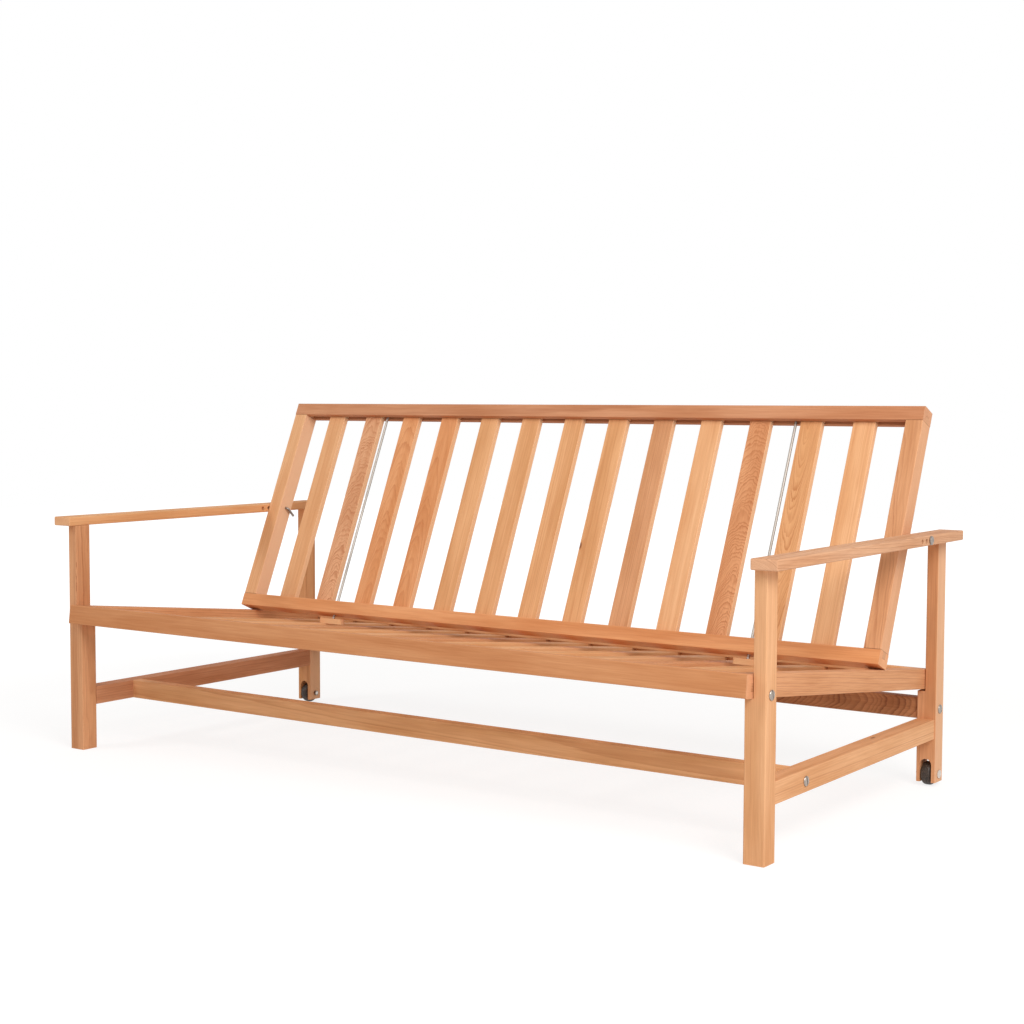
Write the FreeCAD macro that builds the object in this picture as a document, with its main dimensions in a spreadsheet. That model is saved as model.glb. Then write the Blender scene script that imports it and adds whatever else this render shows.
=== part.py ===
import FreeCAD, Part
import math
import os
import Sketcher

doc = FreeCAD.newDocument("outdoor_sofa")
slat_count = 13

# Driving sizes, millimetres and degrees
size_rows = [
    ("overall_length", 2000),  # over the outer edges of the armrests
    ("arm_thickness", 22),
    ("arm_height", 585),  # floor to armrest top
    ("arm_overhang", 31),  # armrest outside the legs
    ("arm_lead", 19),  # armrest ahead of the front legs
    ("arm_tail", 24),  # armrest behind the rear legs
    ("arm_round", 3),
    ("leg_width", 45),  # square section of the legs
    ("post_width", 27),  # what the notch leaves of a leg above the seat
    ("leg_span", 896),  # front face of the front legs to rear face of the rear legs
    ("leg_round", 2),
    ("rear_lift", 9),  # rear leg ends above the floor
    ("post_tenon_width", 15),
    ("post_tenon_depth", 27),
    ("post_tenon_height", 10),
    ("joint_play", 0.2),  # each side of a tenon
    ("end_play", 0.5),  # end of a tenon or tongue to the bottom of its slot
    ("stretcher_low", 110),
    ("stretcher_height", 45),
    ("stretcher_inset", 3),  # side stretchers behind the legs' outer faces
    ("stretcher_tenon_width", 16),
    ("stretcher_tenon_height", 30),
    ("stretcher_tenon_length", 20),
    ("stretcher_thickness", 30),  # front stretcher, front to back
    ("stretcher_setback", 168),  # front stretcher behind the front faces of the legs
    ("cross_rail_gap", 17.3),  # rear cross rail below the shoulders of the rear legs
    ("cross_rail_height", 48),
    ("cross_rail_thickness", 30),
    ("seat_lead", 27),  # seat frame ahead of the front legs
    ("seat_height", 321.3),  # lower front edge of the seat frame
    ("seat_angle", 6.4),
    ("seat_inset", 4.8),  # lower rear edge of the seat frame ahead of the rear faces of the legs
    ("member_depth", 46),  # seat and back frame members, square to the slats
    ("rail_thickness", 34),
    ("stile_width", 41),
    ("side_gap", 1),  # seat and back frames to the posts
    ("board_round", 2),
    ("slat_width", 54.5),
    ("slat_thickness", 16),
    ("slat_round", 1.5),
    ("slat_recess", 17),  # seat slats below the top of the seat frame
    ("groove_depth", 16),
    ("groove_play", 0.4),
    ("back_angle", 23.4),
    ("back_length", 606),
    ("rest_gap", 0.3),  # back frame and foot blocks above what they rest on
    ("pivot_setback", 171.6),  # pivot ahead of the rear faces of the legs
    ("spare_pitch", 24),  # between the pivot hole and the spare holes
    ("pivot_rod", 7),
    ("running_play", 0.05),
    ("sleeve_size", 10),
    ("sleeve_head", 20),
    ("sleeve_head_thickness", 3.5),
    ("sleeve_start", 3),  # sleeve end inside the armrest's inner edge
    ("sleeve_cover", 8),  # solid end of the sleeve
    ("handle_length", 32),
    ("handle_bend", 7),
    ("handle_gap", 1),
    ("handle_angle", 45),
    ("rod_size", 6.5),
    ("rod_beside", 16),  # tie rod from the edge of its slat
    ("rod_socket", 12),
    ("rod_seat", 9),  # tie rod inside its foot block
    ("block_length", 76),
    ("block_width", 22),
    ("block_height", 14),
    ("block_round", 9),
    ("block_shift", 3),
    ("bolt_size", 8),
    ("bolt_head", 21),
    ("bolt_head_thickness", 3.5),
    ("bolt_grip", 30),  # bolt inside the member it holds
    ("bolt_rise", 9),  # seat bolt above the underside of the seat frame
    ("head_bevel", 1.2),
    ("slot_width", 2.4),
    ("slot_depth", 1.5),
    ("bore_play", 0.3),  # all round a fixed rod, bolt or sleeve
    ("insert_size", 12),
    ("insert_length", 20),
    ("wheel_size", 54),
    ("wheel_width", 24.5),
    ("wheel_round", 8),
    ("wheel_hub", 18),
    ("wheel_dish", 2),
    ("wheel_rim", 6),
    ("wheel_play", 1.25),  # each side of a wheel in its slot
    ("wheel_headroom", 9),
    ("axle_size", 8),
    ("axle_head", 20),
    ("axle_head_thickness", 3.5),
    ("axle_nut", 14),
    ("axle_nut_thickness", 6),
]
sizes = doc.addObject("Spreadsheet::Sheet", "Sizes")
for row, (alias, number) in enumerate(size_rows, start=1):
    sizes.set("A%d" % row, alias)
    sizes.set("B%d" % row, str(number))
    sizes.setAlias("B%d" % row, alias)

# Places that follow from the sizes
place_rows = [
    ("leg_outer", "Sizes.overall_length / 2 - Sizes.arm_overhang"),
    ("leg_inner", "leg_outer - Sizes.leg_width"),
    ("leg_middle", "leg_outer - Sizes.leg_width / 2"),
    ("post_inner", "leg_outer - Sizes.post_width"),
    ("notch", "Sizes.leg_width - Sizes.post_width"),
    ("arm_width", "Sizes.arm_overhang + Sizes.post_width"),
    ("arm_low", "Sizes.arm_height - Sizes.arm_thickness"),
    ("arm_middle", "Sizes.arm_height - Sizes.arm_thickness / 2"),
    ("front_face", "-(Sizes.leg_span + Sizes.arm_tail - Sizes.seat_lead) / 2"),
    ("front_middle", "front_face + Sizes.leg_width / 2"),
    ("rear_face", "front_face + Sizes.leg_span"),
    ("rear_middle", "rear_face - Sizes.leg_width / 2"),
    ("stretcher_span", "Sizes.leg_span - 2 * Sizes.leg_width"),
    ("stretcher_width", "Sizes.leg_width - Sizes.stretcher_inset"),
    ("stretcher_middle", "Sizes.stretcher_low + Sizes.stretcher_height / 2"),
    ("front_stretcher_y", "front_face + Sizes.stretcher_setback + Sizes.stretcher_thickness / 2"),
    ("seat_start", "front_face - Sizes.seat_lead"),
    ("seat_length", "(Sizes.leg_span + Sizes.seat_lead - Sizes.seat_inset) / cos(Sizes.seat_angle)"),
    ("frame_outer", "post_inner - Sizes.side_gap"),
    ("frame_inner", "frame_outer - Sizes.stile_width"),
    ("slat_gap", "(2 * frame_inner - %d * Sizes.slat_width) / %d" % (slat_count, slat_count + 1)),
    ("slat_pitch", "Sizes.slat_width + slat_gap"),
    ("slat_middle", "Sizes.member_depth - Sizes.slat_recess - Sizes.slat_thickness / 2"),
    ("groove_half", "(Sizes.slat_thickness + Sizes.groove_play) / 2"),
    ("tongue", "Sizes.groove_depth - Sizes.end_play"),
    ("rear_shoulder", "Sizes.seat_height - seat_length * sin(Sizes.seat_angle)"),
    ("cross_rail_middle", "rear_shoulder - Sizes.cross_rail_gap - Sizes.cross_rail_height / 2"),
    ("bolt_reach", "front_middle - seat_start - Sizes.bolt_rise * sin(Sizes.seat_angle)"),
    ("bolt_along", "bolt_reach / cos(Sizes.seat_angle)"),
    ("bolt_drop", "bolt_along * sin(Sizes.seat_angle) - Sizes.bolt_rise * cos(Sizes.seat_angle)"),
    ("bolt_height", "Sizes.seat_height - bolt_drop"),
    ("pivot_y", "rear_face - Sizes.pivot_setback"),
    ("pivot_behind", "pivot_y - seat_start"),
    ("pivot_over", "arm_middle - Sizes.seat_height"),
    ("pivot_along", "pivot_behind * cos(Sizes.seat_angle) - pivot_over * sin(Sizes.seat_angle)"),
    ("pivot_rise", "pivot_behind * sin(Sizes.seat_angle) + pivot_over * cos(Sizes.seat_angle)"),
    ("lean", "Sizes.back_angle - Sizes.seat_angle"),
    ("heel", "(Sizes.member_depth / 2 - Sizes.board_round) * sin(lean) + Sizes.board_round"),
    ("back_drop", "pivot_rise - Sizes.member_depth - Sizes.rest_gap - heel"),
    ("back_below", "back_drop / cos(lean) + Sizes.board_round"),
    ("back_above", "Sizes.back_length - back_below"),
    ("block_low", "slat_middle + Sizes.slat_thickness / 2 + Sizes.rest_gap"),
    ("block_middle", "block_low + Sizes.block_height / 2"),
    ("block_along", "pivot_along - (pivot_rise - block_middle) * tan(lean)"),
    ("block_dip", "Sizes.rod_seat - Sizes.block_height / 2 / cos(lean)"),
    ("rod_below", "(pivot_rise - block_middle) / cos(lean) + block_dip"),
    ("rod_above", "back_above - Sizes.rail_thickness + Sizes.groove_depth + Sizes.rod_socket"),
    ("rod_x", "%d * slat_pitch - Sizes.slat_width / 2 - Sizes.rod_beside" % (slat_count // 2 - 1)),
    ("wheel_slot", "Sizes.wheel_width + 2 * Sizes.wheel_play"),
    ("slot_top", "Sizes.wheel_size + Sizes.wheel_headroom - Sizes.rear_lift"),
    ("axle_rise", "Sizes.wheel_size / 2 - Sizes.rear_lift"),
    ("sleeve_tip", "Sizes.overall_length / 2 - Sizes.sleeve_cover - Sizes.end_play"),
    ("handle_x", "frame_inner - Sizes.handle_gap"),
]
places = doc.addObject("Spreadsheet::Sheet", "Layout")
for row, (alias, formula) in enumerate(place_rows, start=1):
    places.set("A%d" % row, alias)
    places.set("B%d" % row, "=" + formula)
    places.setAlias("B%d" % row, alias)
doc.recompute()

pieces = {}
axis_x = FreeCAD.Vector(1, 0, 0)
axis_y = FreeCAD.Vector(0, 1, 0)
axis_z = FreeCAD.Vector(0, 0, 1)


# Making bodies and features
def new_body(label):
    body = doc.addObject("PartDesign::Body", label)
    body.Label = label
    return body


def bind(thing, names, expressions):
    for name, expression in zip(names, expressions):
        thing.setExpression(name, expression)


def move(thing, x, y, z):
    bind(thing, ["Placement.Base.x", "Placement.Base.y", "Placement.Base.z"], [x, y, z])


def turn(thing, axis, angle):
    thing.Placement = FreeCAD.Placement(FreeCAD.Vector(0, 0, 0), FreeCAD.Rotation(axis, 1))
    thing.setExpression("Placement.Rotation.Angle", angle)


def on_plane(body, role):
    sketch = body.newObject("Sketcher::SketchObject", body.Name + "_sketch")
    plane = [feature for feature in body.Origin.OriginFeatures if feature.Role == role][0]
    sketch.AttachmentSupport = [(plane, "")]
    sketch.MapMode = "FlatFace"
    return sketch


def fix_point(sketch, line, end, across, up):
    number = sketch.addConstraint(Sketcher.Constraint("DistanceX", line, end, 1.0))
    sketch.setExpression("Constraints[%d]" % number, across)
    number = sketch.addConstraint(Sketcher.Constraint("DistanceY", line, end, 1.0))
    sketch.setExpression("Constraints[%d]" % number, up)


def outline(body, role, corners):
    sketch = on_plane(body, role)
    count = len(corners)
    spots = []
    for place in range(count):
        angle = 2 * math.pi * place / count
        spots.append(FreeCAD.Vector(10 * math.cos(angle), 10 * math.sin(angle), 0))
    for place in range(count):
        sketch.addGeometry(Part.LineSegment(spots[place], spots[(place + 1) % count]))
    for place in range(count):
        sketch.addConstraint(Sketcher.Constraint("Coincident", place, 2, (place + 1) % count, 1))
    for place, (across, up) in enumerate(corners):
        fix_point(sketch, place, 1, across, up)
    return sketch


def pad(body, sketch, length, sides="One side"):
    block = body.newObject("PartDesign::Pad", body.Name + "_pad")
    block.Profile = sketch
    block.SideType = sides
    block.setExpression("Length", length)


def lathe(body, corners):
    sketch = outline(body, "XY_Plane", corners)
    spun = body.newObject("PartDesign::Revolution", body.Name + "_turned")
    spun.Profile = sketch
    spun.ReferenceAxis = (sketch, ["H_Axis"])
    spun.Angle = 360


def box(body, kind, spans, x, y, z):
    block = body.newObject("PartDesign::%sBox" % kind, body.Name + "_box")
    bind(block, ["Length", "Width", "Height"], spans)
    move(block, x, y, z)


def bore(body, radius, length, along, x, y, z):
    hole = body.newObject("PartDesign::SubtractiveCylinder", body.Name + "_bore")
    bind(hole, ["Radius", "Height"], [radius, length])
    if along == "x":
        hole.Placement = FreeCAD.Placement(FreeCAD.Vector(0, 0, 0), FreeCAD.Rotation(axis_y, 90))
    if along == "y":
        hole.Placement = FreeCAD.Placement(FreeCAD.Vector(0, 0, 0), FreeCAD.Rotation(axis_x, -90))
    move(hole, x, y, z)


def runs_along(edge, axis):
    if edge.Curve.TypeId != "Part::GeomLine":
        return False
    return abs(abs(edge.tangentAt(edge.FirstParameter).dot(axis)) - 1) < 1e-6


def on_corner(edge, bounds, axis):
    spot = edge.CenterOfMass
    low = FreeCAD.Vector(bounds.XMin, bounds.YMin, bounds.ZMin)
    high = FreeCAD.Vector(bounds.XMax, bounds.YMax, bounds.ZMax)
    for way in (axis_x, axis_y, axis_z):
        inside = min(abs(spot.dot(way) - low.dot(way)), abs(spot.dot(way) - high.dot(way)))
        if way != axis and inside > 0.01:
            return False
    return True


def round_edges(body, radius, wanted):
    doc.recompute()
    solid = body.Tip
    names = []
    for place, edge in enumerate(solid.Shape.Edges, start=1):
        if wanted(edge, solid.Shape.BoundBox):
            names.append("Edge%d" % place)
    ease = body.newObject("PartDesign::Fillet", body.Name + "_round")
    ease.Base = (solid, names)
    ease.setExpression("Radius", radius)


def round_corners(body, radius, axis):
    round_edges(body, radius, lambda edge, bounds: runs_along(edge, axis) and on_corner(edge, bounds, axis))


def mirrored(label, source):
    twin = doc.addObject("Part::Mirroring", label)
    twin.Label = label
    twin.Source = source
    twin.Base = FreeCAD.Vector(0, 0, 0)
    twin.Normal = axis_x
    return twin


def keep_pair(name, right_piece):
    pieces["right_" + name] = right_piece
    pieces["left_" + name] = mirrored("left_" + name, right_piece)


def keep_group(label, right_pieces):
    right_side = doc.addObject("Part::Compound", label + "_right")
    right_side.Links = right_pieces
    left_side = mirrored(label + "_left", right_side)
    group = doc.addObject("Part::Compound", label)
    group.Label = label
    group.Links = [right_side, left_side]
    pieces[label] = group


# Legs with a notched post and a stub tenon for the armrest
def new_leg(label, height, y, z):
    leg = new_body(label)
    side = "Sizes.leg_width"
    pad(leg, outline(leg, "XY_Plane", [("0", "0"), (side, "0"), (side, side), ("0", side)]), height)
    move(leg, "Layout.leg_inner", y, z)
    return leg


def post_tenon(leg, height):
    spans = ["Sizes.post_tenon_width", "Sizes.post_tenon_depth", height + " + Sizes.post_tenon_height"]
    x = "Sizes.leg_width - (Sizes.post_width + Sizes.post_tenon_width) / 2"
    box(leg, "Additive", spans, x, "(Sizes.leg_width - Sizes.post_tenon_depth) / 2", "0")


def stretcher_mortise(leg, y, floor):
    width = "Sizes.stretcher_tenon_width + 2 * Sizes.joint_play"
    height = "Sizes.stretcher_tenon_height + 2 * Sizes.joint_play"
    depth = "Sizes.stretcher_tenon_length + Sizes.end_play"
    x = "(Layout.stretcher_width - Sizes.stretcher_tenon_width) / 2 - Sizes.joint_play"
    z = "Layout.stretcher_middle - Sizes.stretcher_tenon_height / 2 - Sizes.joint_play - " + floor
    box(leg, "Subtractive", [width, depth, height], x, y, z)


def bolt_hole(body, length, x, y, z):
    bore(body, "Sizes.bolt_size / 2 + Sizes.bore_play", length, "x", x, y, z)


def long_upright(edge, bounds):
    return runs_along(edge, axis_z) and edge.Length > bounds.ZLength / 4


front_leg = new_leg("right_front_leg", "Layout.arm_low", "Layout.front_face", "0")
near_shoulder = "Sizes.seat_height - (Sizes.seat_lead - Sizes.leg_width) * tan(Sizes.seat_angle)"
far_shoulder = "Sizes.seat_height - (Sizes.seat_lead + 2 * Sizes.leg_width) * tan(Sizes.seat_angle)"
notch_corners = [("-Sizes.leg_width", near_shoulder), ("2 * Sizes.leg_width", far_shoulder)]
notch_corners.append(("2 * Sizes.leg_width", "2 * Layout.arm_low"))
notch_corners.append(("-Sizes.leg_width", "2 * Layout.arm_low"))
front_notch = front_leg.newObject("PartDesign::Pocket", "right_front_leg_notch")
front_notch.Profile = outline(front_leg, "YZ_Plane", notch_corners)
front_notch.Reversed = True
front_notch.setExpression("Length", "Layout.notch")
front_leg.Tip = front_notch
round_edges(front_leg, "Sizes.leg_round", long_upright)
post_tenon(front_leg, "Layout.arm_low")
stretcher_mortise(front_leg, "Sizes.leg_width - Sizes.stretcher_tenon_length - Sizes.end_play", "0")
bolt_hole(front_leg, "Sizes.leg_width", "0", "Sizes.leg_width / 2", "Layout.bolt_height")
keep_pair("front_leg", front_leg)

# Rear legs, shorter, with an arched slot for the wheel
rear_height = "(Layout.arm_low - Sizes.rear_lift)"
rear_leg = new_leg("right_rear_leg", rear_height, "Layout.rear_face - Sizes.leg_width", "Sizes.rear_lift")
shoulder = "Layout.rear_shoulder - Sizes.rear_lift"
box(rear_leg, "Subtractive", ["Layout.notch", "Sizes.leg_width", "Layout.arm_low"], "0", "0", shoulder)
round_edges(rear_leg, "Sizes.leg_round", long_upright)
post_tenon(rear_leg, rear_height)
stretcher_mortise(rear_leg, "0", "Sizes.rear_lift")
rail_bolt_z = "Layout.cross_rail_middle - Sizes.rear_lift"
bolt_hole(rear_leg, "Sizes.leg_width", "0", "Sizes.leg_width / 2", rail_bolt_z)
slot_x = "(Sizes.leg_width - Layout.wheel_slot) / 2"
slot_spans = ["Layout.wheel_slot", "Sizes.leg_width", "Layout.slot_top - Layout.wheel_slot / 2"]
box(rear_leg, "Subtractive", slot_spans, slot_x, "0", "0")
arch_z = "Layout.slot_top - Layout.wheel_slot / 2"
bore(rear_leg, "Layout.wheel_slot / 2", "Sizes.leg_width", "y", "Sizes.leg_width / 2", "0", arch_z)
axle_hole = "Sizes.axle_size / 2 + Sizes.bore_play"
bore(rear_leg, axle_hole, "Sizes.leg_width", "x", "0", "Sizes.leg_width / 2", "Layout.axle_rise")
keep_pair("rear_leg", rear_leg)

# Armrests with the pivot hole, two spare holes and mortises for the posts
armrest = new_body("right_armrest")
arm_length = "Sizes.arm_lead + Sizes.leg_span + Sizes.arm_tail"
arm_corners = [("0", "0"), ("Layout.arm_width", "0"), ("Layout.arm_width", arm_length), ("0", arm_length)]
pad(armrest, outline(armrest, "XY_Plane", arm_corners), "Sizes.arm_thickness")
round_edges(armrest, "Sizes.arm_round", lambda edge, bounds: True)
pivot_in_arm = "Sizes.arm_lead + Sizes.leg_span - Sizes.pivot_setback"
for place in range(3):
    hole_y = "%s - %d * Sizes.spare_pitch" % (pivot_in_arm, place)
    sleeve_hole = "Sizes.sleeve_size / 2 + Sizes.bore_play"
    bore(armrest, sleeve_hole, "Layout.arm_width", "x", "0", hole_y, "Sizes.arm_thickness / 2")
mortise_spans = ["Sizes.post_tenon_width + 2 * Sizes.joint_play"]
mortise_spans.append("Sizes.post_tenon_depth + 2 * Sizes.joint_play")
mortise_spans.append("Sizes.post_tenon_height + Sizes.end_play")
mortise_x = "(Sizes.post_width - Sizes.post_tenon_width) / 2 - Sizes.joint_play"
mortise_inset = "(Sizes.leg_width - Sizes.post_tenon_depth) / 2 - Sizes.joint_play"
front_mortise = "Sizes.arm_lead + " + mortise_inset
rear_mortise = "Sizes.arm_lead + Sizes.leg_span - Sizes.leg_width + " + mortise_inset
for mortise_y in (front_mortise, rear_mortise):
    box(armrest, "Subtractive", mortise_spans, mortise_x, mortise_y, "0")
move(armrest, "Layout.post_inner", "Layout.front_face - Sizes.arm_lead", "Layout.arm_low")
keep_pair("armrest", armrest)

# Side stretchers tenoned into the legs
side_stretcher = new_body("right_side_stretcher")
stretcher_spans = ["Layout.stretcher_width", "Layout.stretcher_span", "Sizes.stretcher_height"]
box(side_stretcher, "Additive", stretcher_spans, "0", "0", "0")
round_corners(side_stretcher, "Sizes.board_round", axis_y)
tenon_spans = ["Sizes.stretcher_tenon_width"]
tenon_spans.append("Layout.stretcher_span + 2 * Sizes.stretcher_tenon_length")
tenon_spans.append("Sizes.stretcher_tenon_height")
box(side_stretcher, "Additive", tenon_spans, "(Layout.stretcher_width - Sizes.stretcher_tenon_width) / 2",
    "-Sizes.stretcher_tenon_length", "(Sizes.stretcher_height - Sizes.stretcher_tenon_height) / 2")
bolt_y = "Layout.front_stretcher_y - Layout.front_face - Sizes.leg_width"
bolt_hole(side_stretcher, "Layout.stretcher_width", "0", bolt_y, "Sizes.stretcher_height / 2")
move(side_stretcher, "Layout.leg_inner", "Layout.front_face + Sizes.leg_width", "Sizes.stretcher_low")
keep_pair("side_stretcher", side_stretcher)


# Cross members between the two sides, bored at both ends for a threaded insert and its bolt
def insert_bore(body, face, y, z):
    wide = "Sizes.insert_size / 2 + Sizes.bore_play"
    deep = "Sizes.bolt_grip + Sizes.end_play"
    bore(body, wide, "Sizes.insert_length", "x", face + " - Sizes.insert_length", y, z)
    bolt_hole(body, deep, face + " - Sizes.bolt_grip - Sizes.end_play", y, z)


def cross_member(label, thickness, height, y, z):
    member = new_body(label)
    corners = [("-%s / 2", "-%s / 2"), ("%s / 2", "-%s / 2"), ("%s / 2", "%s / 2"), ("-%s / 2", "%s / 2")]
    corners = [(across % thickness, up % height) for across, up in corners]
    pad(member, outline(member, "YZ_Plane", corners), "2 * Layout.leg_inner", "Symmetric")
    round_corners(member, "Sizes.board_round", axis_x)
    insert_bore(member, "Layout.leg_inner", "0", "0")
    bore(member, "Sizes.insert_size / 2 + Sizes.bore_play", "Sizes.insert_length", "x",
         "-Layout.leg_inner", "0", "0")
    bolt_hole(member, "Sizes.bolt_grip + Sizes.end_play", "-Layout.leg_inner", "0", "0")
    move(member, "0", y, z)
    pieces[label] = member


cross_member("front_stretcher", "Sizes.stretcher_thickness", "Sizes.stretcher_height",
             "Layout.front_stretcher_y", "Layout.stretcher_middle")
cross_member("rear_cross_rail", "Sizes.cross_rail_thickness", "Sizes.cross_rail_height",
             "Layout.rear_middle", "Layout.cross_rail_middle")


# Seat and back frames: grooved rails, tongued stiles and slats let into the grooves
def on_seat(body, x):
    turn(body, FreeCAD.Vector(-1, 0, 0), "Sizes.seat_angle")
    move(body, x, "Layout.seat_start", "Sizes.seat_height")


def on_pivot(body, x):
    turn(body, FreeCAD.Vector(-1, 0, 0), "Sizes.back_angle")
    move(body, x, "Layout.pivot_y", "Layout.arm_middle")


seat = {"low": "0", "high": "Sizes.member_depth", "middle": "Layout.slat_middle"}
seat.update({"start": "0", "end": "Layout.seat_length", "upright": False, "place": on_seat})
back = {"low": "-Sizes.member_depth / 2", "high": "Sizes.member_depth / 2", "middle": "0"}
back.update({"start": "-Layout.back_below", "end": "Layout.back_above", "upright": True, "place": on_pivot})


def frame_outline(body, frame, corners):
    if frame["upright"]:
        corners = [(up, along) for along, up in corners]
    return outline(body, "YZ_Plane", corners)


def new_rail(label, frame, outer, inward):
    rail = new_body(label)
    face = "%s %s Sizes.rail_thickness" % (outer, inward)
    floor = "%s %s (Sizes.rail_thickness - Sizes.groove_depth)" % (outer, inward)
    low_lip = frame["middle"] + " - Layout.groove_half"
    high_lip = frame["middle"] + " + Layout.groove_half"
    corners = [(outer, frame["low"]), (face, frame["low"]), (face, low_lip), (floor, low_lip)]
    corners += [(floor, high_lip), (face, high_lip), (face, frame["high"]), (outer, frame["high"])]
    pad(rail, frame_outline(rail, frame, corners), "2 * Layout.frame_outer", "Symmetric")
    round_corners(rail, "Sizes.board_round", axis_x)
    frame["place"](rail, "0")
    pieces[label] = rail
    return rail


def new_stile(label, frame):
    stile = new_body(label)
    near = frame["start"] + " + Sizes.rail_thickness"
    far = frame["end"] + " - Sizes.rail_thickness"
    low = frame["middle"] + " - Sizes.slat_thickness / 2"
    high = frame["middle"] + " + Sizes.slat_thickness / 2"
    corners = [(near, frame["low"]), (far, frame["low"]), (far, low), (far + " + Layout.tongue", low)]
    corners += [(far + " + Layout.tongue", high), (far, high), (far, frame["high"]), (near, frame["high"])]
    corners += [(near, high), (near + " - Layout.tongue", high)]
    corners += [(near + " - Layout.tongue", low), (near, low)]
    pad(stile, frame_outline(stile, frame, corners), "Sizes.stile_width", "Symmetric")
    round_corners(stile, "Sizes.board_round", axis_z if frame["upright"] else axis_y)
    frame["place"](stile, "Layout.frame_outer - Sizes.stile_width / 2")
    return stile


def new_slats(name, frame):
    near = frame["start"] + " + Sizes.rail_thickness - Layout.tongue"
    far = frame["end"] + " - Sizes.rail_thickness + Layout.tongue"
    low = frame["middle"] + " - Sizes.slat_thickness / 2"
    high = frame["middle"] + " + Sizes.slat_thickness / 2"
    for number in range(1, slat_count + 1):
        label = "%s_slat_%02d" % (name, number)
        slat = new_body(label)
        corners = [(near, low), (far, low), (far, high), (near, high)]
        pad(slat, frame_outline(slat, frame, corners), "Sizes.slat_width", "Symmetric")
        round_corners(slat, "Sizes.slat_round", axis_z if frame["upright"] else axis_y)
        frame["place"](slat, "Layout.slat_pitch * %d" % (number - slat_count // 2 - 1))
        pieces[label] = slat


new_rail("seat_front_rail", seat, seat["start"], "+")
new_rail("seat_rear_rail", seat, seat["end"], "-")
seat_stile = new_stile("right_seat_stile", seat)
insert_bore(seat_stile, "Sizes.stile_width / 2", "Layout.bolt_along", "Sizes.bolt_rise")
keep_pair("seat_stile", seat_stile)
new_slats("seat", seat)
top_rail = new_rail("back_top_rail", back, back["end"], "-")
bottom_rail = new_rail("back_bottom_rail", back, back["start"], "+")
back_stile = new_stile("right_back_stile", back)
pivot_bore = "Sizes.pivot_rod / 2 + Sizes.running_play"
bore(back_stile, pivot_bore, "Sizes.stile_width", "x", "-Sizes.stile_width / 2", "0", "0")
keep_pair("back_stile", back_stile)
new_slats("back", back)

# Tie rods through the back frame, each standing in a foot block on the seat slats
rod_bore = "Sizes.rod_size / 2 + Sizes.bore_play"
for rod_x in ("Layout.rod_x", "-Layout.rod_x"):
    bore(bottom_rail, rod_bore, "Sizes.rail_thickness", "z", rod_x, "0", "-Layout.back_below")
    socket_z = "Layout.rod_above - Sizes.rod_socket - Sizes.groove_depth"
    bore(top_rail, rod_bore, "Sizes.rod_socket + Sizes.groove_depth", "z", rod_x, "0", socket_z)
tie_rod = new_body("right_tie_rod")
bar = tie_rod.newObject("PartDesign::AdditiveCylinder", "right_tie_rod_bar")
bind(bar, ["Radius", "Height"], ["Sizes.rod_size / 2", "Layout.rod_below + Layout.rod_above"])
move(bar, "0", "0", "-Layout.rod_below")
on_pivot(tie_rod, "Layout.rod_x")
keep_pair("tie_rod", tie_rod)

foot_block = new_body("right_foot_block")
half_length = "Sizes.block_length / 2"
half_width = "Sizes.block_width / 2"
block_corners = [("-" + half_length, "-" + half_width), (half_length, "-" + half_width)]
block_corners += [(half_length, half_width), ("-" + half_length, half_width)]
pad(foot_block, outline(foot_block, "XY_Plane", block_corners), "Sizes.block_height")
round_corners(foot_block, "Sizes.block_round", axis_z)
rod_hole = foot_block.newObject("PartDesign::SubtractiveCylinder", "right_foot_block_hole")
bind(rod_hole, ["Radius", "Height"], [rod_bore, "2 * Sizes.block_height"])
turn(rod_hole, FreeCAD.Vector(-1, 0, 0), "Layout.lean")
move(rod_hole, "-Sizes.block_shift", "-Layout.block_dip * sin(Layout.lean)",
     "Sizes.block_height / 2 - Layout.block_dip * cos(Layout.lean)")
turn(foot_block, FreeCAD.Vector(-1, 0, 0), "Sizes.seat_angle")
block_y = "Layout.block_along * cos(Sizes.seat_angle) + Layout.block_low * sin(Sizes.seat_angle)"
block_z = "Layout.block_low * cos(Sizes.seat_angle) - Layout.block_along * sin(Sizes.seat_angle)"
move(foot_block, "Layout.rod_x + Sizes.block_shift", "Layout.seat_start + " + block_y,
     "Sizes.seat_height + " + block_z)
keep_pair("foot_block", foot_block)


# Turned steel: headed bolts, axles, inserts and sleeve nuts
def headed_pin(label, head, thickness, shank, length, x, y, z):
    pin = new_body(label)
    corners = [(thickness, "0"), (thickness, head + " / 2 - Sizes.head_bevel")]
    corners += [(thickness + " - Sizes.head_bevel", head + " / 2"), ("0", head + " / 2")]
    corners += [("0", shank + " / 2"), ("-(%s)" % length, shank + " / 2"), ("-(%s)" % length, "0")]
    lathe(pin, corners)
    box(pin, "Subtractive", ["Sizes.slot_depth", "Sizes.slot_width", head],
        thickness + " - Sizes.slot_depth", "-Sizes.slot_width / 2", "-%s / 2" % head)
    move(pin, x, y, z)
    return pin


def new_bolt(label, through, x, y, z):
    length = through + " + Sizes.bolt_grip"
    head = "Sizes.bolt_head"
    return headed_pin(label, head, "Sizes.bolt_head_thickness", "Sizes.bolt_size", length, x, y, z)


def new_insert(label, x, y, z):
    insert = new_body(label)
    wall = "Sizes.insert_size / 2"
    hole = "Sizes.bolt_size / 2 + Sizes.bore_play"
    corners = [("0", hole), ("0", wall), ("-Sizes.insert_length", wall), ("-Sizes.insert_length", hole)]
    lathe(insert, corners)
    move(insert, x, y, z)
    return insert


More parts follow.
